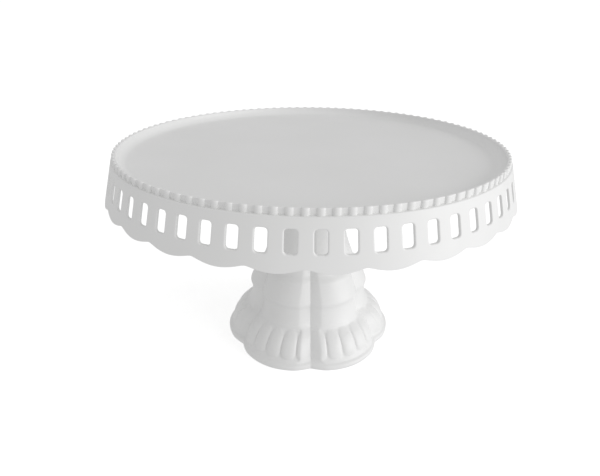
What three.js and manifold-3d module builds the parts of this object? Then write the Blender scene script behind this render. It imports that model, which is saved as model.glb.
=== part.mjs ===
// Cake stand: a round ribbon plate that twist-locks onto a six-lobed hollow pedestal.
// Millimetres, +Z up. The origin is on the table, on the axis of the stand.
// Angles run from -Y (the front) towards +X.

import * as THREE from 'three';
import { mergeVertices } from 'three/addons/utils/BufferGeometryUtils.js';
import Module from 'manifold-3d';

const wasm = await Module();
wasm.setup();

const TAU = Math.PI * 2;
const DEGREE = Math.PI / 180;
const GAP = 0.3;
const SECTOR_SEGMENTS = 8;

// Plate
const SKIRT_BOTTOM_RADIUS = 152.5;
const SKIRT_TOP_RADIUS = 144.8;
const SKIRT_WALL = 1.7;
const SKIRT_BOTTOM = 133.6;
const LEDGE_HEIGHT = 162.3;
const LEDGE_ROUND = 0.8;
const RIM_RADIUS = 142.3;
const RIM_THICKNESS = 1.3;
const RIM_TOP = 166.2;
const RIM_ROUND = 0.4;
const FLOOR_RADIUS = 134;
const FLOOR_TOP = 159.6;
const FLOOR_UNDERSIDE = 157.2;
const PLATE_SEGMENTS = 120;
const COVE_STEPS = 3;

// Ribs round the outside of the rim
const TOOTH_COUNT = 112;
const TOOTH_WIDTH = 4.3;
const TOOTH_TOP = 166.8;
const TOOTH_CREST_RADIUS = 143.7;
const TOOTH_CREST_SHARE = 0.5;
const TOOTH_SINK = 0.9;
const TOOTH_FOOT = 0.4;

// Ribbon slots and scallops of the skirt
const SLOT_COUNT = 60;
const SLOT_WIDTH = 7;
const SLOT_HEIGHT = 12.8;
const SLOT_CORNER = 1.9;
const SLOT_MIDDLE = 149.8;
const SCALLOP_COUNT = 30;
const SCALLOP_DEPTH = 2.8;
const SCALLOP_SHARE = 0.94;
const SCALLOP_STEPS = 3;
const SCALLOP_CURVE = 2.2;
const SCALLOP_PHASE = 0.25;
const CUTTER_INNER_RADIUS = SKIRT_TOP_RADIUS - 8;
const CUTTER_LENGTH = 16;
const CUTTER_OVERRUN = 4;

// Pedestal
const LOBE_COUNT = 6;
const PEDESTAL_WALL = 2.6;
const PEDESTAL_TOP = FLOOR_UNDERSIDE - GAP;
const GROOVE_EDGE_FACTOR = 0.975;
const GROOVE_STEPS = 3;
const GROOVE_NARROW = 17;
const GROOVE_WIDE = 40;
const GROOVE_CLEARANCE = 1 * DEGREE;
const PETAL_COUNT = 32;
const PETAL_PITCH = TAU / PETAL_COUNT;
const PETAL_PHASE = 12.2 * DEGREE;
const PETAL_STEPS = 4;
const PETAL_RELIEF = 1.5;
const PETAL_BOTTOM = 6.5;
const PETAL_TOP = 27.5;
const LIP_INNER_RADIUS = 65.6;
const INSIDE_BOTTOM = 5;
const INSIDE_ROW_STEP = 3;
const MOUTH_RADIUS = 33;
const MOUTH_THICKNESS = 4.7;
const MOUTH_BOTTOM = PEDESTAL_TOP - MOUTH_THICKNESS;

// Outer outline of a lobe's middle, as [radius, height], from the table to the plate
const PEDESTAL_OUTLINE = [
  [70.5, 0],
  [70.5, 4.2],
  [67.4, 5.4],
  [66.9, 8.8],
  [65.7, 13],
  [63.4, 17.6],
  [59.7, 22],
  [55.3, 25.2],
  [51.8, 27.6],
  [50.6, 30],
  [49.6, 33.5],
  [49, 38],
  [48.9, 42],
  [49, 45.2],
  [49.3, 46.6],
  [48.8, 49],
  [47.2, 53.2],
  [44.2, 59.5],
  [41.4, 64.8],
  [39.3, 66.4],
  [36.6, 72],
  [31.3, 87.5],
  [29.2, 102],
  [30.5, 118],
  [35.5, 134],
  [41.5, 147],
  [44.5, 152.5],
  [44.5, PEDESTAL_TOP],
];

// A groove's half angle in degrees and its bottom's share of the lobe's radius, as
// [height, half angle, share]: wide and shallow at the lip, narrow on the foot
const GROOVE_SHAPE = [
  [4.2, 10.5, 0.92],
  [8.8, 7.4, 0.9],
  [25.2, 7.4, 0.9],
  [30, 10.2, 0.9],
  [49, 10.2, 0.9],
  [66.4, 9, 0.9],
];

// Twist lock
const LUG_COUNT = 3;
const LUG_INNER_RADIUS = 27;
const LUG_ANGLE = 50 * DEGREE;
const LUG_INSET = 0.2;
const STOP_ANGLE = 12 * DEGREE;
const STOP_GAP_ANGLE = 0.8 * DEGREE;
const HUB_RADIUS = LUG_INNER_RADIUS - 0.8;
const HUB_WALL = 2.6;
const HUB_TOP = FLOOR_UNDERSIDE - GAP;
const HUB_BOTTOM = HUB_TOP - 10.7;
const HUB_WEB_TOP = HUB_BOTTOM + 3;
const HUB_SEGMENTS = 48;
const LOCK_LUG_RADIUS = MOUTH_RADIUS - 1;
const LOCK_LUG_TOP = MOUTH_BOTTOM - GAP;
const LOCK_LUG_BOTTOM = LOCK_LUG_TOP - 3.3;
const ACCESS_HOLE_RADIUS = 6;
const OVERLAP = 1;

// Screws that hold the lock ring under the plate
const SCREW_COUNT = 3;
const SCREW_CIRCLE_RADIUS = 15;
const SCREW_SHANK_RADIUS = 1.5;
const SCREW_HEAD_RADIUS = 3.2;
const SCREW_HEAD_HEIGHT = 2.2;
const SCREW_HEAD_EDGE = 1;
const SCREW_CROWN_RADIUS = 2.2;
const SCREW_CROWN = 0.3;
const SCREW_POINT = 1.2;
const SCREW_TIP = FLOOR_UNDERSIDE - 1.8;
const SCREW_HOLE_RADIUS = SCREW_SHANK_RADIUS + GAP;
const SCREW_SEGMENTS = 16;
const HOLE_SEGMENTS = 12;
const BOSS_RADIUS = 4.2;
const BOSS_SEGMENTS = 16;

const whitePlastic = { color: 0xf1f1ef, roughness: 0.32, metalness: 0 };
const lockPlastic = { color: 0xdcdcda, roughness: 0.5, metalness: 0 };
const screwSteel = { color: 0xb9bcc0, roughness: 0.35, metalness: 1 };

// Point on a circle round the stand's axis.
function onCircle(radius, angle, z) {
  return [radius * Math.sin(angle), -radius * Math.cos(angle), z];
}

// Closed geometry to a solid that can be joined and cut.
function toSolid(geometry) {
  const bare = geometry.clone();
  bare.deleteAttribute('normal');
  bare.deleteAttribute('uv');
  const merged = mergeVertices(bare, 1e-4);
  const index = merged.index.array;
  const triangles = [];
  for (let i = 0; i < index.length; i += 3) {
    const [a, b, c] = [index[i], index[i + 1], index[i + 2]];
    if (a !== b && b !== c && c !== a) {
      triangles.push(a, b, c);
    }
  }
  return new wasm.Manifold(new wasm.Mesh({
    numProp: 3,
    vertProperties: new Float32Array(merged.attributes.position.array),
    triVerts: new Uint32Array(triangles),
  }));
}

function toGeometry(solid) {
  const mesh = solid.getMesh();
  const geometry = new THREE.BufferGeometry();
  geometry.setAttribute('position', new THREE.BufferAttribute(mesh.vertProperties, 3));
  geometry.setIndex(new THREE.BufferAttribute(mesh.triVerts, 1));
  geometry.computeVertexNormals();
  return geometry;
}

// Turned solid from a closed half profile of [radius, height] points, anticlockwise.
// Half a segment's turn puts flats, not corners, at the front, where a slot lies.
function turned(profile, segments) {
  const points = profile.map(([radius, z]) => new THREE.Vector2(radius, z));
  const geometry = new THREE.LatheGeometry(points, segments);
  geometry.rotateX(Math.PI / 2);
  geometry.rotateZ(Math.PI / segments);
  return toSolid(geometry);
}

// Upright round bar between two heights, moved off the axis.
function roundBar(radius, bottom, top, x, y, segments) {
  const geometry = new THREE.CylinderGeometry(radius, radius, top - bottom, segments);
  geometry.rotateX(Math.PI / 2);
  geometry.translate(x, y, (bottom + top) / 2);
  return toSolid(geometry);
}

// Flat outline in (sideways, up), extruded outwards from innerRadius and turned to an angle.
function radialPrism(outline, innerRadius, length, angle) {
  const shape = new THREE.Shape(outline.map(([x, y]) => new THREE.Vector2(x, y)));
  const geometry = new THREE.ExtrudeGeometry(shape, { depth: length, bevelEnabled: false });
  geometry.rotateX(Math.PI / 2);
  geometry.translate(0, -innerRadius, 0);
  geometry.rotateZ(angle);
  return toSolid(geometry);
}

// Piece of a flat ring between two angles.
function ringSector(innerRadius, outerRadius, startAngle, endAngle, bottom, top) {
  const start = startAngle - Math.PI / 2;
  const end = endAngle - Math.PI / 2;
  const shape = new THREE.Shape();
  shape.absarc(0, 0, outerRadius, start, end, false);
  shape.absarc(0, 0, innerRadius, end, start, true);
  const geometry = new THREE.ExtrudeGeometry(shape, {
    depth: top - bottom,
    bevelEnabled: false,
    curveSegments: SECTOR_SEGMENTS,
  });
  geometry.translate(0, 0, bottom);
  return toSolid(geometry);
}

// Concave quarter from the plate's floor up to the rim.
function covePoints() {
  const width = RIM_RADIUS - RIM_THICKNESS - RIM_ROUND - FLOOR_RADIUS;
  const rise = RIM_TOP - RIM_ROUND - FLOOR_TOP;
  const points = [];
  for (let i = 0; i <= COVE_STEPS; i += 1) {
    const turn = (Math.PI / 2) * (i / COVE_STEPS);
    points.push([
      FLOOR_RADIUS + width * Math.sin(turn),
      FLOOR_TOP + rise * (1 - Math.cos(turn)),
    ]);
  }
  return points;
}

// Outer radius of the skirt at a height.
function skirtRadius(z) {
  const share = (z - SKIRT_BOTTOM) / (LEDGE_HEIGHT - LEDGE_ROUND - SKIRT_BOTTOM);
  return SKIRT_BOTTOM_RADIUS + (SKIRT_TOP_RADIUS - SKIRT_BOTTOM_RADIUS) * share;
}

function plateBody() {
  const profile = [
    [0, FLOOR_UNDERSIDE],
    [skirtRadius(FLOOR_UNDERSIDE) - SKIRT_WALL, FLOOR_UNDERSIDE],
    [SKIRT_BOTTOM_RADIUS - SKIRT_WALL, SKIRT_BOTTOM],
    [SKIRT_BOTTOM_RADIUS, SKIRT_BOTTOM],
    [SKIRT_TOP_RADIUS, LEDGE_HEIGHT - LEDGE_ROUND],
    [SKIRT_TOP_RADIUS - LEDGE_ROUND, LEDGE_HEIGHT],
    [RIM_RADIUS, LEDGE_HEIGHT],
    [RIM_RADIUS, RIM_TOP],
    [RIM_RADIUS - RIM_THICKNESS, RIM_TOP],
    ...covePoints().reverse(),
    [0, FLOOR_TOP],
  ];
  return turned(profile, PLATE_SEGMENTS);
}

// Upright half-round rib on the outside of the rim.
function rimTooth(angle) {
  const half = TOOTH_WIDTH / 2;
  const crestHalf = half * TOOTH_CREST_SHARE;
  const root = RIM_RADIUS - TOOTH_SINK;
  const shape = new THREE.Shape([
    new THREE.Vector2(-half, -root),
    new THREE.Vector2(-crestHalf, -TOOTH_CREST_RADIUS),
    new THREE.Vector2(crestHalf, -TOOTH_CREST_RADIUS),
    new THREE.Vector2(half, -root),
  ]);
  const bottom = LEDGE_HEIGHT - TOOTH_FOOT;
  const geometry = new THREE.ExtrudeGeometry(shape, {
    depth: TOOTH_TOP - bottom,
    bevelEnabled: false,
  });
  geometry.translate(0, 0, bottom);
  geometry.rotateZ(angle);
  return toSolid(geometry);
}

// Ribbon slot: an upright oblong with cut corners.
function slotCutter(angle) {
  const x = SLOT_WIDTH / 2;
  const y = SLOT_HEIGHT / 2;
  const c = SLOT_CORNER;
  const outline = [
    [-x + c, -y], [x - c, -y], [x, -y + c], [x, y - c],
    [x - c, y], [-x + c, y], [-x, y - c], [-x, -y + c],
  ];
  const raised = outline.map(([side, up]) => [side, up + SLOT_MIDDLE]);
  return radialPrism(raised, CUTTER_INNER_RADIUS, CUTTER_LENGTH, angle);
}

// Notch between two scallops of the skirt's lower edge.
function scallopCutter(angle) {
  const half = SKIRT_BOTTOM_RADIUS * Math.sin(Math.PI / SCALLOP_COUNT) * SCALLOP_SHARE;
  const below = SKIRT_BOTTOM - CUTTER_OVERRUN;
  const edge = [[-half, below], [half, below]];
  for (let i = SCALLOP_STEPS; i >= -SCALLOP_STEPS; i -= 1) {
    const fromMiddle = 1 - Math.abs(i) / SCALLOP_STEPS;
    const rise = SCALLOP_DEPTH * fromMiddle ** SCALLOP_CURVE;
    edge.push([half * (i / SCALLOP_STEPS), SKIRT_BOTTOM + rise]);
  }
  return radialPrism(edge, CUTTER_INNER_RADIUS, CUTTER_LENGTH, angle);
}

function screwPosition(index) {
  const [x, y] = onCircle(SCREW_CIRCLE_RADIUS, (index + 0.5) * (TAU / SCREW_COUNT), 0);
  return { x, y };
}

// Boss under the plate with a blind pilot hole for a screw.
function screwBoss(index) {
  const { x, y } = screwPosition(index);
  const bottom = HUB_WEB_TOP + GAP;
  const boss = roundBar(BOSS_RADIUS, bottom, FLOOR_UNDERSIDE + OVERLAP, x, y, BOSS_SEGMENTS);
  const holeTop = SCREW_TIP + GAP * 2;
  return boss.subtract(
    roundBar(SCREW_HOLE_RADIUS, bottom - OVERLAP, holeTop, x, y, HOLE_SEGMENTS));
}

function cakePlate() {
  let solid = plateBody();
  for (let i = 0; i < TOOTH_COUNT; i += 1) {
    solid = solid.add(rimTooth((i * TAU) / TOOTH_COUNT));
  }
  for (let i = 0; i < SLOT_COUNT; i += 1) {
    solid = solid.subtract(slotCutter((i * TAU) / SLOT_COUNT));
  }
  for (let i = 0; i < SCALLOP_COUNT; i += 1) {
    solid = solid.subtract(scallopCutter(((i - SCALLOP_PHASE) * TAU) / SCALLOP_COUNT));
  }
  for (let i = 0; i < SCREW_COUNT; i += 1) {
    solid = solid.add(screwBoss(i));
  }
  return toGeometry(solid);
}

// Angle from the middle of the nearest groove, 0 to half a lobe.
function angleFromGroove(angle) {
  const lobe = TAU / LOBE_COUNT;
  const turn = ((angle % lobe) + lobe) % lobe;
  return Math.min(turn, lobe - turn);
}

// Half angle and bottom share of a groove at a height.
function grooveShape(z) {
  const above = GROOVE_SHAPE.findIndex(([height]) => height > z);
  const last = above < 0 ? GROOVE_SHAPE.length - 1 : Math.max(above, 1);
  const [lowZ, lowAngle, lowShare] = GROOVE_SHAPE[last - 1];
  const [highZ, highAngle, highShare] = GROOVE_SHAPE[last];
  const t = Math.min(Math.max((z - lowZ) / (highZ - lowZ), 0), 1);
  return {
    halfAngle: (lowAngle + (highAngle - lowAngle) * t) * DEGREE,
    share: lowShare + (highShare - lowShare) * t,
  };
}

// Radius factor round the pedestal: straight-sided grooves between rounded lobes.
function lobeFactor(angle, z) {
  const away = angleFromGroove(angle);
  const { halfAngle, share } = grooveShape(z);
  if (away < halfAngle) {
    return share + (GROOVE_EDGE_FACTOR - share) * (away / halfAngle);
  }
  const t = (away - halfAngle) / (Math.PI / LOBE_COUNT - halfAngle);
  return GROOVE_EDGE_FACTOR + (1 - GROOVE_EDGE_FACTOR) * Math.sin((t * Math.PI) / 2);
}

// How far the valleys between the petals cut into the foot.
function petalValley(angle, z) {
  const along = (z - PETAL_BOTTOM) / (PETAL_TOP - PETAL_BOTTOM);
  if (along < 0 || along > 1 || angleFromGroove(angle) < grooveShape(z).halfAngle) {
    return 0;
  }
  const valley = Math.cos(((angle - PETAL_PHASE) / PETAL_PITCH) * Math.PI) ** 2;
  return PETAL_RELIEF * valley * Math.sin(along * Math.PI);
}

// Angles of one turn: even steps on each wall of a groove, and four steps to a petal between grooves.
function pedestalAngles() {
  const lobe = TAU / LOBE_COUNT;
  const groove = grooveShape(GROOVE_NARROW).halfAngle;
  const edge = grooveShape(GROOVE_WIDE).halfAngle;
  const angles = [];
  for (let i = 0; i < LOBE_COUNT; i += 1) {
    angles.push(i * lobe, i * lobe + edge, (i + 1) * lobe - edge);
    for (let j = 1; j < GROOVE_STEPS; j += 1) {
      const step = (groove * j) / (GROOVE_STEPS - 1);
      angles.push(i * lobe + step, (i + 1) * lobe - step);
    }
  }
  for (let i = 0; i < PETAL_COUNT * PETAL_STEPS; i += 1) {
    const angle = PETAL_PHASE + (i * PETAL_PITCH) / PETAL_STEPS;
    if (angleFromGroove(angle) > edge + GROOVE_CLEARANCE) {
      angles.push(angle % TAU);
    }
  }
  return angles.sort((a, b) => a - b);
}

// Rings of points from the table up the outside, over the mouth and down the inside.
function pedestalRings(angles) {
  const skinDepth = PEDESTAL_WALL + PETAL_RELIEF;
  const rings = PEDESTAL_OUTLINE.map(([radius, z]) => angles.map((angle) => (
    onCircle(radius * lobeFactor(angle, z) - petalValley(angle, z), angle, z))));
  rings.push(angles.map((angle) => onCircle(MOUTH_RADIUS, angle, PEDESTAL_TOP)));
  rings.push(angles.map((angle) => onCircle(MOUTH_RADIUS, angle, MOUTH_BOTTOM)));
  const inside = PEDESTAL_OUTLINE.filter(([, z], i) => (
    z > INSIDE_BOTTOM && z < MOUTH_BOTTOM - PEDESTAL_WALL && i % INSIDE_ROW_STEP === 1));
  for (const [radius, z] of inside.reverse()) {
    rings.push(angles.map((angle) => (
      onCircle(radius * lobeFactor(angle, z) - skinDepth, angle, z - PETAL_RELIEF))));
  }
  rings.push(angles.map((angle) => onCircle(LIP_INNER_RADIUS * lobeFactor(angle, 0), angle, 0)));
  return rings;
}

// Closed skin over rings of points, joined round and end to end.
function ringSkin(rings) {
  const count = rings[0].length;
  const index = [];
  for (let i = 0; i < rings.length; i += 1) {
    const here = i * count;
    const next = ((i + 1) % rings.length) * count;
    for (let j = 0; j < count; j += 1) {
      const k = (j + 1) % count;
      index.push(here + j, here + k, next + k, here + j, next + k, next + j);
    }
  }
  const geometry = new THREE.BufferGeometry();
  geometry.setAttribute('position', new THREE.Float32BufferAttribute(rings.flat(2), 3));
  geometry.setIndex(index);
  return geometry;
}

// Pedestal's skin with lugs that reach in from its mouth.
function pedestal() {
  let solid = toSolid(ringSkin(pedestalRings(pedestalAngles())));
  for (let i = 0; i < LUG_COUNT; i += 1) {
    const middle = (i * TAU) / LUG_COUNT;
    solid = solid.add(ringSector(
      LUG_INNER_RADIUS,
      MOUTH_RADIUS + OVERLAP,
      middle - LUG_ANGLE / 2,
      middle + LUG_ANGLE / 2,
      MOUTH_BOTTOM + LUG_INSET,
      PEDESTAL_TOP - LUG_INSET,
    ));
  }
  return toGeometry(solid);
}

// Cup of the lock ring, round the access hole.
function lockCup() {
  return turned([
    [ACCESS_HOLE_RADIUS, HUB_BOTTOM],
    [HUB_RADIUS, HUB_BOTTOM],
    [HUB_RADIUS, HUB_TOP],
    [HUB_RADIUS - HUB_WALL, HUB_TOP],
    [HUB_RADIUS - HUB_WALL, HUB_WEB_TOP],
    [ACCESS_HOLE_RADIUS, HUB_WEB_TOP],
    [ACCESS_HOLE_RADIUS, HUB_BOTTOM],
  ], HUB_SEGMENTS);
}

// Lug that turns in beneath a lug of the pedestal, with a stop that meets that lug's end.
function lockLug(middle) {
  const root = HUB_RADIUS - OVERLAP;
  const start = middle - LUG_ANGLE / 2;
  const stopStart = middle + LUG_ANGLE / 2 + STOP_GAP_ANGLE;
  const stopEnd = stopStart + STOP_ANGLE;
  const stopRadius = LOCK_LUG_RADIUS - GAP;
  const stopBottom = LOCK_LUG_TOP - OVERLAP / 2;
  const lug = ringSector(root, LOCK_LUG_RADIUS, start, stopEnd, LOCK_LUG_BOTTOM, LOCK_LUG_TOP);
  return lug.add(ringSector(root, stopRadius, stopStart, stopEnd, stopBottom, HUB_TOP - GAP));
}

function lockRing() {
  let solid = lockCup();
  for (let i = 0; i < LUG_COUNT; i += 1) {
    solid = solid.add(lockLug((i * TAU) / LUG_COUNT));
  }
  for (let i = 0; i < SCREW_COUNT; i += 1) {
    const { x, y } = screwPosition(i);
    solid = solid.subtract(roundBar(
      SCREW_HOLE_RADIUS, HUB_BOTTOM - OVERLAP, HUB_WEB_TOP + OVERLAP, x, y, HOLE_SEGMENTS));
  }
  return toGeometry(solid);
}

// Self-tapping screw with a domed head, driven from below.
function lockScrew() {
  const headTop = HUB_BOTTOM - GAP;
  const headBottom = headTop - SCREW_HEAD_HEIGHT;
  const profile = [
    [0, headBottom],
    [SCREW_CROWN_RADIUS, headBottom + SCREW_CROWN],
    [SCREW_HEAD_RADIUS, headTop - SCREW_HEAD_EDGE],
    [SCREW_HEAD_RADIUS, headTop],
    [SCREW_SHANK_RADIUS, headTop],
    [SCREW_SHANK_RADIUS, SCREW_TIP - SCREW_POINT],
    [0, SCREW_TIP],
  ];
  return toGeometry(turned(profile, SCREW_SEGMENTS));
}

function part(name, geometry, look) {
  const mesh = new THREE.Mesh(geometry, new THREE.MeshStandardMaterial(look));
  mesh.name = name;
  return mesh;
}

const plateAssembly = new THREE.Group();
plateAssembly.add(part('cake_plate', cakePlate(), whitePlastic));
plateAssembly.add(part('lock_ring', lockRing(), lockPlastic));
for (let i = 0; i < SCREW_COUNT; i += 1) {
  const screw = part(`lock_screw_${i + 1}`, lockScrew(), screwSteel);
  const { x, y } = screwPosition(i);
  screw.position.set(x, y, 0);
  plateAssembly.add(screw);
}

const cakeStand = new THREE.Group();
cakeStand.add(part('pedestal', pedestal(), whitePlastic));
cakeStand.add(plateAssembly);

export default cakeStand;
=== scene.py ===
"""Looks of the cake stand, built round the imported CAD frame.

Shapes are in millimetres until Skin.build turns them into metres; the lamp and camera clipping are
in metres. Angles round the axis run from -Y, the front, towards +X.
"""

import math

import bmesh
import bpy
import numpy as np
from mathutils import Matrix, Vector

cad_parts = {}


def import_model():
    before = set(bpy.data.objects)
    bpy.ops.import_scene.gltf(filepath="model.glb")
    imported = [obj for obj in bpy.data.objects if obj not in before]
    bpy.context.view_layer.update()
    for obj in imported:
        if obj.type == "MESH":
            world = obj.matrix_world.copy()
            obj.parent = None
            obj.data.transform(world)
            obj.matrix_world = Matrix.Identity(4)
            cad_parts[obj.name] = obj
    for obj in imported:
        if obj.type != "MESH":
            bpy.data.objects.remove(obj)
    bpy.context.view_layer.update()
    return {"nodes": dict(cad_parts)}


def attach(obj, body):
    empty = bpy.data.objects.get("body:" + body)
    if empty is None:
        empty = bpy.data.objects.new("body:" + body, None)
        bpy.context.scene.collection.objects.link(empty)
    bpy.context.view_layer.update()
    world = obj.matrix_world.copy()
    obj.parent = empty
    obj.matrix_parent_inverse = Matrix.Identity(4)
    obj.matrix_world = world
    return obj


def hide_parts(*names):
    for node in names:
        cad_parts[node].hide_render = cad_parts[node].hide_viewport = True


MM = 0.001
TAU = 2 * math.pi
DEGREE = math.pi / 180
WELD = 1e-6
SHARP_ANGLE = 38 * DEGREE

# Plate, close to the CAD part's sizes
SKIRT_BOTTOM = 133.6
SKIRT_BOTTOM_RADIUS = 152.45
SKIRT_TOP_RADIUS = 144.8
SKIRT_WALL = 1.7
LEDGE_HEIGHT = 162.3
LEDGE_ROUND = 0.75
RIM_RADIUS = 142.3
RIM_INNER_RADIUS = 140.6
RIM_CROWN_RADIUS = 141.6
RIM_ROUND = 0.6
RIM_TOP = 166.2
FLOOR_RADIUS = 134.0
FLOOR_TOP = 159.6
FLOOR_UNDERSIDE = 157.2
EDGE_ROUND = 0.45
BOSS_RADIUS = 4.2
BOSS_BOTTOM = 149.5
BOSS_HOLE_RADIUS = 1.8
BOSS_ROUND = 0.3
BOSS_HOLE_SPARE = 0.6
BOSS_COLUMNS = 32
SEAM_WIDTH = 0.1

# Ribbon slots and scallops of the skirt
SLOT_COUNT = 60
SLOT_HALF_WIDTH = 3.5
SLOT_HALF_HEIGHT = 6.4
SLOT_CORNER = 2.0
SLOT_MIDDLE = 149.8
SLOT_FLARE = 0.6
SIDE_STEPS = 12
CELL_BOTTOM = 141.2
CELL_TOP = 159.2
SCALLOP_COUNT = 30
SCALLOP_PHASE = -3 * DEGREE
NOTCH_DEPTH = 2.97
NOTCH_SHARE = 0.97
NOTCH_REACH = 1.05
NOTCH_ROUND = 0.012
NOTCH_POWER = 1.9
COLUMNS = SLOT_COUNT * SIDE_STEPS

# Rounded mouth and wall of a slot, as (growth of its loop, depth below the skirt's face)
SLOT_MOUTH = ((0.5, 0.03), (0.25, 0.15), (0.07, 0.36), (0.0, 0.65), (0.0, 1.1))

# Flat discs of the plate's floor and underside, as (number of points, radius) rings going inwards
FLOOR_DISC = ((720, 129), (360, 120), (180, 90), (90, 50), (45, 20), (24, 6))
UNDERSIDE_DISC = ((720, 141), (360, 120), (180, 90), (90, 50), (45, 30), (24, 6))

# Ribs round the rim
TOOTH_COUNT = 112
TOOTH_HALF_WIDTH = 2.2
TOOTH_RELIEF = 1.35
TOOTH_RISE = 0.5
TOOTH_ARC = (-90, -72, -52, -32, -11, 11, 32, 52, 72, 90)
RIM_EDGE_ROUND = 0.35
TOOTH_EDGE_ROUND = 0.5
GAP_SHARES = (0.0875, 0.5, 0.9125)
DISH_STEPS = 14

# Pedestal
LOBE_COUNT = 6
LOBE = TAU / LOBE_COUNT
PEDESTAL_TOP = 156.9
PEDESTAL_COLUMNS = 480
GROOVE_EDGE_FACTOR = 0.974
GROOVE_EDGE_ROUND = 0.0035
GROOVE_OVERLAP = 0.2
PETAL_COUNT = 32
PETAL_PITCH = TAU / PETAL_COUNT
PETAL_PHASE = 12 * DEGREE
PETAL_MIDDLE = 17.1
PETAL_HALF_HEIGHT = 9.6
PETAL_RELIEF = 1.8
PETAL_BAND_MARGIN = 1.0
PETAL_FADE = 1.5 * DEGREE
PETAL_SIDE_POWER = 2.2
PETAL_END_POWER = 4
PETAL_BAND_POWER = 6
OUTLINE_STEP = 1.15
OUTLINE_EASING_PASSES = 2
INSIDE_ROW_SKIP = 3
MOUTH_RADIUS = 33.0
MOUTH_BOTTOM = 152.2
MOUTH_ROUND = 0.3
LUG_UNDERSIDE_RADIUS = 33.5
LIP_INNER_RADIUS = 65.6
LIP_ROUND = 0.4
LUG_COUNT = 3
LUG_INNER_RADIUS = 27.0
LUG_HALF_ANGLE = 25 * DEGREE

# Smooth runs of the outline of a lobe's middle, as (radius, height), from the table up to the plate
PEDESTAL_RUNS = (
    ((69.9, 0.0), (70.45, 0.6), (70.45, 3.4), (70.0, 4.2), (67.9, 4.8)),
    ((67.3, 5.4), (66.9, 8.8), (65.7, 13.0), (63.4, 17.6), (59.7, 22.0), (55.3, 25.2), (51.8, 27.6),
     (50.5, 30.0), (49.4, 33.5), (48.5, 38.0), (48.2, 42.0), (48.4, 44.6)),
    ((49.7, 45.6), (49.8, 46.8), (48.9, 49.0), (47.2, 53.2), (44.4, 59.5), (41.7, 64.8)),
    ((39.2, 66.2), (36.6, 72.0), (31.3, 87.5), (29.2, 102.0), (30.5, 118.0), (35.5, 134.0), (41.5, 147.0)),
    ((44.4, 152.5), (44.4, 156.3), (43.9, PEDESTAL_TOP)),
)

# Inside of the pedestal: an outline taken in by INSIDE_DEPTH and down by INSIDE_DROP
INSIDE_RUN = (
    (65.7, 13.0), (55.3, 25.2), (49.6, 33.5), (49.0, 45.2), (47.2, 53.2), (39.3, 66.4),
    (29.2, 102.0), (41.5, 147.0),
)
INSIDE_DEPTH = 4.1
INSIDE_DROP = 1.5

# A groove's half angle in degrees and its bottom's share of the lobe's radius, by height
GROOVE_HEIGHTS = (4.2, 8.8, 25.2, 30.0, 49.0, 66.4)
GROOVE_HALF_ANGLES = (10.5, 7.5, 7.5, 10.5, 10.5, 9.0)
GROOVE_BOTTOMS = (0.92, 0.90, 0.90, 0.90, 0.90, 0.90)

# Lock screws
SCREW_COUNT = 3
SCREW_CIRCLE_RADIUS = 15.0
SCREW_SEAT = 145.9
SCREW_HEAD_HEIGHT = 2.2
SCREW_HEAD_RADIUS = 3.2
SCREW_SHANK_RADIUS = 1.5
SCREW_TIP = 155.4
SCREW_DOME = 1.1
SCREW_DOME_REACH = 3.22
RECESS_DEPTH = 1.3
RECESS_REACH = 1.9
RECESS_HALF_WIDTH = 0.5
RECESS_SIDE_SLOPE = 0.15
RECESS_END_SLOPE = 0.35
SCREW_EDGE = 0.15
SCREW_POINT = 1.2
SCREW_END_RADIUS = 0.1
SCREW_COLUMNS = 96
SCREW_FACE_RADII = (
    0.25, 0.4, 0.52, 0.66, 0.9, 1.2, 1.5, 1.7, 1.9, 2.1, 2.4, 2.7, 2.95, 3.1, SCREW_HEAD_RADIUS,
)

# Light, with lengths in metres, power in watts and angles in radians
WORLD_STRENGTH = 0.625
KEY_ENERGY = 33
KEY_SIZE = 2.3
KEY_AZIMUTH = 64 * DEGREE
KEY_ELEVATION = 12 * DEGREE
KEY_DISTANCE = 2.6
KEY_TARGET_HEIGHT = 0.12
FLOOR_GLOW = 0.44

# Paper round the object: a level disc, a bend and an upright wall
PAPER_RADII = (150, 600, 2500, 6000)
PAPER_BEND = 1500
PAPER_TOP = 5000.0
PAPER_COLUMNS = 96

# Camera, with lengths in millimetres and angles in radians
CAMERA_DISTANCE = 378.83
CAMERA_TARGET_HEIGHT = 149.94
CAMERA_ELEVATION = 0.2762
CAMERA_AZIMUTH = -2.4 * DEGREE
CAMERA_YAW = -0.019
CAMERA_PITCH = -0.1595
CAMERA_ROLL = 0.0105
LENS = 28.81


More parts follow.
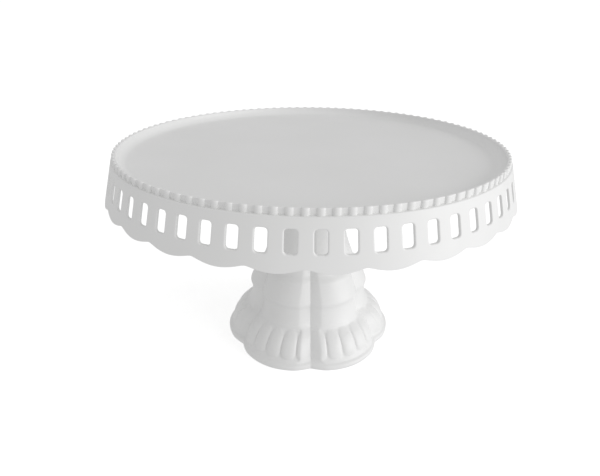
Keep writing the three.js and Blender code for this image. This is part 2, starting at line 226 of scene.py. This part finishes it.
class Skin:
    """Points and faces gathered ring by ring. A ring is a list of point numbers round the axis."""

    def __init__(self):
        self.points = []
        self.faces = []

    def ring(self, points):
        """New points, given back as their numbers."""
        start = len(self.points)
        self.points.extend(map(tuple, points))
        return list(range(start, start + len(points)))

    def strip(self, lower, upper, closed=True):
        """Four-sided faces between two rings with the same number of points."""
        count = len(lower)
        for j in range(count if closed else count - 1):
            k = (j + 1) % count
            self.faces.append((lower[j], lower[k], upper[k], upper[j]))

    def strips(self, rings):
        """Strips between each ring and the next."""
        for lower, upper in zip(rings, rings[1:]):
            self.strip(lower, upper)

    def zipper(self, lower, lower_angles, upper, upper_angles):
        """Triangles between two rings with different numbers of points, sorted by angle."""
        i = j = 0
        m, n = len(lower), len(upper)
        low = list(lower_angles) + [lower_angles[0] + TAU]
        up = list(upper_angles) + [upper_angles[0] + TAU]
        while i < m or j < n:
            if j >= n or (i < m and low[i + 1] <= up[j + 1]):
                self.faces.append((lower[i % m], lower[(i + 1) % m], upper[j % n]))
                i += 1
            else:
                self.faces.append((lower[i % m], upper[(j + 1) % n], upper[j % n]))
                j += 1

    def turned(self, rows, angles, centre=0.0):
        """Rings from (radius, height) rows, joined in order."""
        rings = [self.ring(polar(radius, angles, z) + centre) for radius, z in rows]
        self.strips(rings)
        return rings

    def cap(self, ring, centre):
        """Fan of triangles that closes a ring at a middle point."""
        middle = self.ring([centre])[0]
        for j in range(len(ring)):
            self.faces.append((ring[j], ring[(j + 1) % len(ring)], middle))

    def build(self, name):
        """Mesh object in metres, welded, with outward faces and smooth shading."""
        mesh = bpy.data.meshes.new(name)
        mesh.from_pydata((np.array(self.points) * MM).tolist(), [], self.faces)
        work = bmesh.new()
        work.from_mesh(mesh)
        bmesh.ops.remove_doubles(work, verts=work.verts, dist=WELD)
        bmesh.ops.recalc_face_normals(work, faces=work.faces)
        work.to_mesh(mesh)
        work.free()
        mesh.shade_smooth()
        mesh.set_sharp_from_angle(angle=SHARP_ANGLE)
        piece = bpy.data.objects.new(name, mesh)
        bpy.context.scene.collection.objects.link(piece)
        return piece


def polar(radius, angle, z):
    """Points round the axis, from arrays or single numbers."""
    radius, angle, z = np.broadcast_arrays(radius, angle, z)
    return np.stack([radius * np.sin(angle), -radius * np.cos(angle), z], axis=-1)


def even_angles(count, start=0.0):
    """Evenly spaced angles of a full turn."""
    return start + np.arange(count) * (TAU / count)


# ---------------------------------------------------------------- plate


def skirt_radius(z):
    """Outer radius of the skirt, which widens downwards."""
    share = (z - SKIRT_BOTTOM) / (LEDGE_HEIGHT - LEDGE_ROUND - SKIRT_BOTTOM)
    return SKIRT_BOTTOM_RADIUS + (SKIRT_TOP_RADIUS - SKIRT_BOTTOM_RADIUS) * share


def scallop_edge(angle):
    """Height of the skirt's lower edge: wide crests with short rounded notches between them."""
    pitch = TAU / SCALLOP_COUNT
    turn = (angle - SCALLOP_PHASE + pitch / 2) % pitch - pitch / 2
    away = np.sqrt((turn / (pitch / 2 * NOTCH_SHARE)) ** 2 + NOTCH_ROUND)
    return SKIRT_BOTTOM + NOTCH_DEPTH * np.clip(NOTCH_REACH - away, 0, 1) ** NOTCH_POWER


def slot_loop(grow):
    """Round-cornered oblong as (sideways, up), anticlockwise from its lower left corner's middle.

    Each side has SIDE_STEPS points: half of one corner's arc, the straight and half of the next arc.
    """
    corner = SLOT_CORNER + grow
    x = SLOT_HALF_WIDTH + grow - corner
    y = SLOT_HALF_HEIGHT + grow - corner
    centres = np.array(((-x, -y), (x, -y), (x, y), (-x, y)))
    arc = SIDE_STEPS // 4
    straight = SIDE_STEPS - 2 * arc

    def on_corner(centre, degrees):
        a = degrees * DEGREE
        return centre + corner * np.array((math.cos(a), math.sin(a)))

    points = []
    for side in range(4):
        here, there = centres[side], centres[(side + 1) % 4]
        outward = 90 * side - 90
        points += [on_corner(here, outward - 45 + 45 * k / arc) for k in range(arc)]
        start, end = on_corner(here, outward), on_corner(there, outward)
        points += [start + (end - start) * k / straight for k in range(straight)]
        points += [on_corner(there, outward + 45 * k / arc) for k in range(arc)]
    return np.array(points)


def cell_border(bottom, top):
    """Border of a slot's cell as (angle, height), in step with slot_loop."""
    half = math.pi / SLOT_COUNT
    t = np.arange(SIDE_STEPS) / SIDE_STEPS
    rise = top - bottom
    return np.concatenate([
        np.stack([-half + 2 * half * t, np.full(SIDE_STEPS, bottom)], 1),
        np.stack([np.full(SIDE_STEPS, half), bottom + rise * t], 1),
        np.stack([half - 2 * half * t, np.full(SIDE_STEPS, top)], 1),
        np.stack([np.full(SIDE_STEPS, -half), top - rise * t], 1),
    ])


def slot_cell(skin, middle):
    """Skirt round one slot: outer face, rounded mouth, wall of the slot and inner face."""
    rings = []

    def add(border, grow, depth, share):
        """Ring at a depth, a share of the way from the cell's border to the slot's loop."""
        loop = slot_loop(grow)
        z = loop[:, 1] + SLOT_MIDDLE
        radius = skirt_radius(z) - depth
        hole = np.stack([np.arcsin(loop[:, 0] / radius), z], 1)
        mixed = border + (hole - border) * share
        rings.append(skin.ring(polar(skirt_radius(mixed[:, 1]) - depth, middle + mixed[:, 0], mixed[:, 1])))

    outer = cell_border(CELL_BOTTOM, CELL_TOP)
    inner = cell_border(CELL_BOTTOM, FLOOR_UNDERSIDE)
    for share in (0.0, 0.3, 0.6, 0.85, 1.0):
        add(outer, SLOT_FLARE, 0.0, share)
    for grow, depth in SLOT_MOUTH:
        add(outer, grow, depth, 1.0)
    for share in (1.0, 0.85, 0.5, 0.0):
        add(inner, 0.0, SKIRT_WALL, share)
    skin.strips(rings)


def skirt_rows(skin, angles):
    """Skirt below its slots: down the outside, round the scalloped edge and up the inside."""
    edge = scallop_edge(angles)
    start = edge + EDGE_ROUND
    heights = [start + (CELL_BOTTOM - start) * share for share in np.linspace(1, 0, 9)]
    rows = [(skirt_radius(z), z) for z in heights]
    flat = SKIRT_WALL - 2 * EDGE_ROUND
    for turn, across in ((30, 0), (60, 0), (90, 0), (90, flat), (120, flat), (150, flat)):
        inset = across + EDGE_ROUND * (1 - math.cos(turn * DEGREE))
        rows.append((skirt_radius(edge) - inset, edge + EDGE_ROUND * (1 - math.sin(turn * DEGREE))))
    for share in np.linspace(0, 1, 6):
        z = start + (CELL_BOTTOM - start) * share
        rows.append((skirt_radius(z) - SKIRT_WALL, z))
    skin.turned(rows, angles)


def tooth_columns():
    """Angles round the rim and, for each, how far it stands up the half-round rib, 0 to 1."""
    pitch = TAU / TOOTH_COUNT
    width = TOOTH_HALF_WIDTH / RIM_RADIUS
    rib = [math.sin(a * DEGREE) for a in TOOTH_ARC]
    gap = pitch / width / 2
    steps = rib + [1 + (2 * gap - 2) * share for share in GAP_SHARES]
    angles = []
    heights = []
    for i in range(TOOTH_COUNT):
        for s in steps:
            angles.append(i * pitch + s * width)
            heights.append(math.sqrt(max(0.0, 1 - s * s)) if s < 1 else 0.0)
    return np.array(angles), np.array(heights)


def rim_rows(skin, angles, rise):
    """Ribbed outside of the rim and its top, from the ledge inwards."""
    radius = RIM_RADIUS + TOOTH_RELIEF * rise
    top = RIM_TOP + TOOTH_RISE * rise
    round_edge = RIM_EDGE_ROUND + TOOTH_EDGE_ROUND * rise
    rows = [(SKIRT_TOP_RADIUS - LEDGE_ROUND - SEAM_WIDTH, LEDGE_HEIGHT)]
    for share in (0.0, 0.04, 0.35, 0.7, 1.0):
        rows.append((radius, LEDGE_HEIGHT + (top - round_edge - LEDGE_HEIGHT) * share))
    for turn in (22, 45, 68, 90):
        inset = round_edge * (1 - math.cos(turn * DEGREE))
        rows.append((radius - inset, top - round_edge * (1 - math.sin(turn * DEGREE))))
    crown = radius - round_edge
    for share, keep in ((0.3, 0.95), (0.6, 0.6), (0.85, 0.15), (1.0, 0.0)):
        rows.append((crown + (RIM_CROWN_RADIUS - crown) * share, RIM_TOP + TOOTH_RISE * rise * keep))
    rings = skin.turned(rows, angles)
    return rings[0], rings[-1]


def dish_rows(skin, angles):
    """Inner edge of the rim and the concave sweep down to the plate's floor."""
    edge = RIM_CROWN_RADIUS - SEAM_WIDTH
    rows = [(edge, RIM_TOP)]
    for turn in (20, 45, 70, 90):
        a = turn * DEGREE
        radius = edge - (edge - RIM_INNER_RADIUS) * math.sin(a)
        rows.append((radius, RIM_TOP - RIM_ROUND * (1 - math.cos(a))))
    width = RIM_INNER_RADIUS - FLOOR_RADIUS
    depth = RIM_TOP - RIM_ROUND - FLOOR_TOP
    for i in range(1, DISH_STEPS + 1):
        a = math.pi / 2 * (1 - i / DISH_STEPS)
        rows.append((FLOOR_RADIUS + width * math.sin(a), FLOOR_TOP + depth * (1 - math.cos(a))))
    rings = skin.turned(rows, angles)
    return rings[0], rings[-1]


def disc(skin, ring, angles, z, steps):
    """Flat disc inside a ring, with fewer points towards the middle."""
    for count, radius in steps:
        next_angles = even_angles(count, angles[0])
        next_ring = skin.ring(polar(radius, next_angles, z))
        if count == len(ring):
            skin.strip(ring, next_ring)
        else:
            skin.zipper(ring, angles, next_ring, next_angles)
        ring, angles = next_ring, next_angles
    skin.cap(ring, (0, 0, z))


def screw_bosses(skin):
    """Three bosses with pilot holes under the plate, which take the lock screws."""
    angles = even_angles(BOSS_COLUMNS)
    hole_top = SCREW_TIP + BOSS_HOLE_SPARE
    profile = (
        (BOSS_RADIUS, FLOOR_UNDERSIDE), (BOSS_RADIUS, BOSS_BOTTOM + BOSS_ROUND),
        (BOSS_RADIUS - BOSS_ROUND, BOSS_BOTTOM), (BOSS_HOLE_RADIUS, BOSS_BOTTOM),
        (BOSS_HOLE_RADIUS, hole_top),
    )
    for i in range(SCREW_COUNT):
        centre = polar(SCREW_CIRCLE_RADIUS, (i + 0.5) * TAU / SCREW_COUNT, 0)
        rings = skin.turned(profile, angles, centre)
        for ring, z in ((rings[0], FLOOR_UNDERSIDE), (rings[-1], hole_top)):
            skin.cap(ring, tuple(centre + np.array((0, 0, z))))


def make_plate():
    """Plate with its skirt, slots, rim and screw bosses."""
    skin = Skin()
    angles = even_angles(COLUMNS, -math.pi / SLOT_COUNT)
    skirt_rows(skin, angles)
    for i in range(SLOT_COUNT):
        slot_cell(skin, i * TAU / SLOT_COUNT)
    shoulder = LEDGE_HEIGHT - LEDGE_ROUND
    rows = [(skirt_radius(z), z) for z in np.linspace(CELL_TOP, shoulder, 4)]
    for turn in (18, 36, 54, 72, 90):
        a = turn * DEGREE
        radius = SKIRT_TOP_RADIUS - LEDGE_ROUND * (1 - math.cos(a))
        rows.append((radius, shoulder + LEDGE_ROUND * math.sin(a)))
    top_rings = skin.turned(rows, angles)
    tooth_angles, rise = tooth_columns()
    ledge_ring, crown_ring = rim_rows(skin, tooth_angles, rise)
    skin.zipper(top_rings[-1], angles, ledge_ring, tooth_angles)
    inner_ring, floor_ring = dish_rows(skin, angles)
    skin.zipper(crown_ring, tooth_angles, inner_ring, angles)
    disc(skin, floor_ring, angles, FLOOR_TOP, FLOOR_DISC)
    under = skin.ring(polar(skirt_radius(FLOOR_UNDERSIDE) - SKIRT_WALL, angles, FLOOR_UNDERSIDE))
    disc(skin, under, angles, FLOOR_UNDERSIDE, UNDERSIDE_DISC)
    screw_bosses(skin)
    return skin.build("cake_plate_body")


# ------------------------------------------------------------- pedestal


def smooth_run(points):
    """Catmull-Rom curve through the points, at about OUTLINE_STEP."""
    p = np.array(points, float)
    p = np.vstack([2 * p[0] - p[1], p, 2 * p[-1] - p[-2]])
    found = []
    for i in range(1, len(p) - 2):
        steps = max(1, round(float(np.linalg.norm(p[i + 1] - p[i])) / OUTLINE_STEP))
        t = (np.arange(steps) / steps)[:, None]
        found.append(0.5 * (
            2 * p[i] + (p[i + 1] - p[i - 1]) * t
            + (2 * p[i - 1] - 5 * p[i] + 4 * p[i + 1] - p[i + 2]) * t ** 2
            + (3 * p[i] - p[i - 1] - 3 * p[i + 1] + p[i + 2]) * t ** 3))
    return np.vstack(found + [p[-2:-1]])


def pedestal_outline():
    """All the outline's runs as one list of points, lightly smoothed to ease the corners."""
    outline = np.vstack([smooth_run(run) for run in PEDESTAL_RUNS])
    for _ in range(OUTLINE_EASING_PASSES):
        outline[1:-1] = (outline[:-2] + 2 * outline[1:-1] + outline[2:]) / 4
    return outline


def from_groove(angles):
    """Angle to the nearest groove's middle."""
    turn = angles % LOBE
    return np.minimum(turn, LOBE - turn)


def lobe_factor(angles, z):
    """Radius factor round the pedestal: V grooves between rounded lobes, with softened edges."""
    away = from_groove(angles)
    half = np.interp(z, GROOVE_HEIGHTS, GROOVE_HALF_ANGLES) * DEGREE
    bottom = np.interp(z, GROOVE_HEIGHTS, GROOVE_BOTTOMS)
    wall = bottom + (GROOVE_EDGE_FACTOR - bottom) * away / half
    t = np.clip((away - half) / (LOBE / 2 - half), -GROOVE_OVERLAP, 1)
    crown = GROOVE_EDGE_FACTOR + (1 - GROOVE_EDGE_FACTOR) * np.sin(t * math.pi / 2)
    blend = np.sqrt((wall - crown) ** 2 + GROOVE_EDGE_ROUND ** 2)
    return 0.5 * (wall + crown - blend + GROOVE_EDGE_ROUND * away / (LOBE / 2))


def petal_relief(angles, z):
    """1 on the crown of a petal and 0 in the valleys round it."""
    turn = (angles - PETAL_PHASE) % PETAL_PITCH - PETAL_PITCH / 2
    across = np.abs(turn / (PETAL_PITCH / 2))
    up = (z - PETAL_MIDDLE) / PETAL_HALF_HEIGHT
    size = across ** PETAL_SIDE_POWER + np.abs(up) ** PETAL_END_POWER
    return np.sqrt(np.clip(1 - size, 0, 1))


def petal_band(z):
    """1 at the heights where the foot's wall is sunk between its petals, fading out above and below."""
    up = abs(z - PETAL_MIDDLE) / (PETAL_HALF_HEIGHT + PETAL_BAND_MARGIN)
    return max(0.0, 1 - up ** PETAL_BAND_POWER)


def beside_groove(angles, z):
    """0 inside a groove and 1 out on the lobes, with a short fade between."""
    half = np.interp(z, GROOVE_HEIGHTS, GROOVE_HALF_ANGLES) * DEGREE
    return np.clip((from_groove(angles) - half) / PETAL_FADE + 0.5, 0, 1)


def mouth_radius(angles):
    """Radius of the mouth: smaller at the three lugs of the twist lock."""
    pitch = TAU / LUG_COUNT
    turn = np.abs((angles + pitch / 2) % pitch - pitch / 2)
    return np.where(turn < LUG_HALF_ANGLE - 0.2 * DEGREE, LUG_INNER_RADIUS, MOUTH_RADIUS)


def make_pedestal():
    """Hollow pedestal: up the outside, over the mouth and down the inside."""
    skin = Skin()
    angles = even_angles(PEDESTAL_COLUMNS)
    outline = pedestal_outline()
    rows = []
    for radius, z in outline:
        sunk = PETAL_RELIEF * petal_band(z) * beside_groove(angles, z) * (1 - petal_relief(angles, z))
        rows.append((radius * lobe_factor(angles, z) - sunk, z))
    mouth = mouth_radius(angles)
    rim = rows[-1][0]
    for share in (0.35, 0.7):
        rows.append((rim + (mouth - rim) * share, PEDESTAL_TOP))
    for outset, z in (
        (MOUTH_ROUND, PEDESTAL_TOP), (0.0, PEDESTAL_TOP - MOUTH_ROUND),
        (0.0, MOUTH_BOTTOM + MOUTH_ROUND), (MOUTH_ROUND, MOUTH_BOTTOM),
    ):
        rows.append((mouth + outset, z))
    rows.append((LUG_UNDERSIDE_RADIUS, MOUTH_BOTTOM))
    for radius, z in smooth_run(INSIDE_RUN)[::-INSIDE_ROW_SKIP]:
        rows.append((radius * lobe_factor(angles, z) - INSIDE_DEPTH, z - INSIDE_DROP))
    lip = LIP_INNER_RADIUS * lobe_factor(angles, 0)
    rows.append((lip, LIP_ROUND))
    rows.append((lip + LIP_ROUND, 0.0))
    rings = skin.turned(rows, angles)
    skin.strip(rings[-1], rings[0])
    return skin.build("pedestal_body")


# --------------------------------------------------------------- screws


def cross_recess(x, y):
    """1 inside the screw head's cross recess and 0 outside it, with sloped walls between."""
    arm = np.minimum(np.abs(x), np.abs(y))
    reach = np.maximum(np.abs(x), np.abs(y))
    across = np.clip((RECESS_HALF_WIDTH - arm) / RECESS_SIDE_SLOPE, 0, 1)
    return across * np.clip((RECESS_REACH - reach) / RECESS_END_SLOPE, 0, 1)


def make_screw(index):
    """Lock screw, head down, with a domed head and a cross recess."""
    skin = Skin()
    angles = even_angles(SCREW_COLUMNS)
    centre = polar(SCREW_CIRCLE_RADIUS, (index + 0.5) * TAU / SCREW_COUNT, 0)
    bottom = SCREW_SEAT - SCREW_HEAD_HEIGHT
    rows = []
    for radius in SCREW_FACE_RADII:
        flat = polar(radius, angles, 0.0)
        dome = SCREW_DOME * (1 - math.sqrt(max(0.0, 1 - (radius / SCREW_DOME_REACH) ** 2)))
        sunk = RECESS_DEPTH * cross_recess(flat[:, 0], flat[:, 1]) * (1 - dome / SCREW_DOME)
        rows.append((radius, bottom + dome + sunk))
    rows += [
        (SCREW_HEAD_RADIUS, SCREW_SEAT - SCREW_EDGE), (SCREW_HEAD_RADIUS - SCREW_EDGE, SCREW_SEAT),
        (SCREW_SHANK_RADIUS, SCREW_SEAT), (SCREW_SHANK_RADIUS, SCREW_TIP - SCREW_POINT),
        (SCREW_END_RADIUS, SCREW_TIP),
    ]
    rings = skin.turned(rows, angles, centre)
    skin.cap(rings[0], tuple(centre + np.array((0, 0, bottom + RECESS_DEPTH))))
    skin.cap(rings[-1], tuple(centre + np.array((0, 0, SCREW_TIP))))
    return skin.build(f"screw_{index + 1}")


# ------------------------------------------------------------ materials


def node(tree, kind, inputs=None, **settings):
    """New shader node with settings, and inputs given as numbers or as output sockets."""
    made = tree.nodes.new(kind)
    for key, value in settings.items():
        setattr(made, key, value)
    for key, value in (inputs or {}).items():
        if isinstance(value, bpy.types.NodeSocket):
            tree.links.new(value, made.inputs[key])
        else:
            made.inputs[key].default_value = value
    return made


def new_material(name):
    """New material with its node tree and its Principled shader."""
    material = bpy.data.materials.new(name)
    material.use_nodes = True
    tree = material.node_tree
    shader = next(n for n in tree.nodes if n.type == "BSDF_PRINCIPLED")
    return material, tree, shader


def ramp(tree, factor, low, high, start=0.3, end=0.7):
    """Colours from low to high as the factor goes from start to end."""
    made = node(tree, "ShaderNodeValToRGB", {"Fac": factor})
    made.color_ramp.elements[0].position = start
    made.color_ramp.elements[0].color = (*low, 1)
    made.color_ramp.elements[1].position = end
    made.color_ramp.elements[1].color = (*high, 1)
    return made.outputs["Color"]


def spread(tree, factor, low, high):
    """A number from low to high as the factor goes from 0.3 to 0.7."""
    made = node(tree, "ShaderNodeMapRange", {"Value": factor, "From Min": 0.3, "From Max": 0.7,
                                             "To Min": low, "To Max": high})
    return made.outputs["Result"]


def moulded_plastic(name, low, high, smooth, rough, grain, wave):
    """Injection-moulded plastic: faint shade drift, soft gloss, fine mould grain and slight waviness."""
    material, tree, shader = new_material(name)
    place = node(tree, "ShaderNodeTexCoord").outputs["Object"]
    drift = node(tree, "ShaderNodeTexNoise", {"Vector": place, "Scale": 14.0, "Detail": 3.0}).outputs["Fac"]
    cloud = node(tree, "ShaderNodeTexNoise", {"Vector": place, "Scale": 55.0, "Detail": 4.0}).outputs["Fac"]
    speck = node(tree, "ShaderNodeTexNoise", {"Vector": place, "Scale": 1500.0, "Detail": 2.0}).outputs["Fac"]
    tree.links.new(ramp(tree, drift, low, high), shader.inputs["Base Color"])
    tree.links.new(spread(tree, cloud, smooth, rough), shader.inputs["Roughness"])
    waves = node(tree, "ShaderNodeBump", {"Height": cloud, "Strength": wave, "Distance": 0.0006})
    fine = node(tree, "ShaderNodeBump", {"Height": speck, "Strength": grain, "Distance": 0.00008,
                                         "Normal": waves.outputs["Normal"]})
    tree.links.new(fine.outputs["Normal"], shader.inputs["Normal"])
    shader.inputs["IOR"].default_value = 1.49
    return material


def zinc_steel():
    """Zinc-plated steel of the screws, with turning marks and a slight mottle."""
    material, tree, shader = new_material("zinc_plated_steel")
    place = node(tree, "ShaderNodeTexCoord").outputs["Object"]
    mottle = node(tree, "ShaderNodeTexNoise", {"Vector": place, "Scale": 900.0, "Detail": 4.0}).outputs["Fac"]
    marks = node(tree, "ShaderNodeTexNoise", {"Vector": place, "Scale": 4000.0, "Detail": 1.0}).outputs["Fac"]
    tree.links.new(ramp(tree, mottle, (0.5, 0.51, 0.53), (0.68, 0.69, 0.71)), shader.inputs["Base Color"])
    tree.links.new(spread(tree, mottle, 0.24, 0.42), shader.inputs["Roughness"])
    bump = node(tree, "ShaderNodeBump", {"Height": marks, "Strength": 0.15, "Distance": 0.00005})
    tree.links.new(bump.outputs["Normal"], shader.inputs["Normal"])
    shader.inputs["Metallic"].default_value = 1.0
    return material


def coat(piece, material):
    """Give a piece one material."""
    piece.data.materials.clear()
    piece.data.materials.append(material)


# ---------------------------------------------------------------- stage


def make_floor():
    """Large plain pale floor whose edge turns up all round. Only the camera sees it."""
    skin = Skin()
    angles = even_angles(PAPER_COLUMNS)
    rows = [(radius, 0.0) for radius in PAPER_RADII]
    for turn in range(10, 91, 10):
        a = turn * DEGREE
        rows.append((PAPER_RADII[-1] + PAPER_BEND * math.sin(a), PAPER_BEND * (1 - math.cos(a))))
    rows.append((PAPER_RADII[-1] + PAPER_BEND, PAPER_TOP))
    rings = skin.turned(rows, angles)
    skin.cap(rings[0], (0, 0, 0))
    floor = skin.build("studio_floor")
    material, tree, shader = new_material("studio_paper")
    place = node(tree, "ShaderNodeTexCoord").outputs["Object"]
    fibre = node(tree, "ShaderNodeTexNoise", {"Vector": place, "Scale": 30.0, "Detail": 2.0}).outputs["Fac"]
    tree.links.new(ramp(tree, fibre, (0.93, 0.93, 0.93), (0.95, 0.95, 0.95)), shader.inputs["Base Color"])
    shader.inputs["Roughness"].default_value = 0.9
    shader.inputs["Emission Color"].default_value = (1, 1, 1, 1)
    shader.inputs["Emission Strength"].default_value = FLOOR_GLOW
    coat(floor, material)
    for flag in ("visible_diffuse", "visible_glossy", "visible_transmission", "visible_shadow"):
        setattr(floor, flag, False)


def make_lights():
    """Even pale surroundings, and a soft key light low on the right."""
    world = bpy.data.worlds.new("studio")
    bpy.context.scene.world = world
    world.use_nodes = True
    background = next(n for n in world.node_tree.nodes if n.type == "BACKGROUND")
    background.inputs["Color"].default_value = (1, 1, 1, 1)
    background.inputs["Strength"].default_value = WORLD_STRENGTH
    lamp = bpy.data.lights.new("key", "AREA")
    lamp.shape = "DISK"
    lamp.size = KEY_SIZE
    lamp.energy = KEY_ENERGY
    key = bpy.data.objects.new("key", lamp)
    direction = Vector((
        math.sin(KEY_AZIMUTH) * math.cos(KEY_ELEVATION),
        -math.cos(KEY_AZIMUTH) * math.cos(KEY_ELEVATION),
        math.sin(KEY_ELEVATION),
    ))
    key.location = Vector((0, 0, KEY_TARGET_HEIGHT)) + direction * KEY_DISTANCE
    key.rotation_euler = direction.to_track_quat("Z", "Y").to_euler()
    bpy.context.scene.collection.objects.link(key)


def turn_axes(first, second, angle):
    """Two axes turned by an angle in the plane they share."""
    return (first * math.cos(angle) - second * math.sin(angle),
            first * math.sin(angle) + second * math.cos(angle))


def make_camera():
    """Camera in front of and above the plate, turned a little off the line to the axis."""
    forward = np.array((0, math.cos(CAMERA_ELEVATION), -math.sin(CAMERA_ELEVATION)))
    up = np.array((0, math.sin(CAMERA_ELEVATION), math.cos(CAMERA_ELEVATION)))
    right = np.array((1.0, 0, 0))
    place = -forward * CAMERA_DISTANCE + np.array((0, 0, CAMERA_TARGET_HEIGHT))
    right, forward = turn_axes(right, forward, CAMERA_YAW)
    up, forward = turn_axes(up, forward, CAMERA_PITCH)
    right, up = turn_axes(right, up, -CAMERA_ROLL)
    lens = bpy.data.cameras.new("camera")
    lens.lens = LENS
    lens.sensor_width = 36.0
    lens.clip_start = 0.01
    lens.clip_end = 100.0
    camera = bpy.data.objects.new("camera", lens)
    axes = Matrix((right, up, -forward)).transposed().to_4x4()
    turn = Matrix.Rotation(CAMERA_AZIMUTH, 4, "Z")
    camera.matrix_world = turn @ Matrix.Translation(Vector(place) * MM) @ axes
    bpy.context.scene.collection.objects.link(camera)
    bpy.context.scene.camera = camera


def main():
    """Looks for every sub-part, and the stage."""
    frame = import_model()

    white = moulded_plastic("white_gloss_plastic", low=(0.84, 0.84, 0.835), high=(0.87, 0.87, 0.868),
                            smooth=0.36, rough=0.5, grain=0.12, wave=0.04)
    lock = moulded_plastic("off_white_lock_plastic", low=(0.74, 0.74, 0.73), high=(0.79, 0.79, 0.78),
                           smooth=0.48, rough=0.62, grain=0.35, wave=0.05)
    steel = zinc_steel()

    plate = make_plate()
    coat(plate, white)
    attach(plate, "plate")
    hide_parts("cake_plate")

    pedestal = make_pedestal()
    coat(pedestal, white)
    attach(pedestal, "foot")
    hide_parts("pedestal")

    for i in range(SCREW_COUNT):
        screw = make_screw(i)
        coat(screw, steel)
        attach(screw, "plate")
        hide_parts(f"lock_screw_{i + 1}")

    coat(frame["nodes"]["lock_ring"], lock)

    make_floor()
    make_lights()
    make_camera()
    bpy.context.scene.view_settings.view_transform = "Standard"


main()
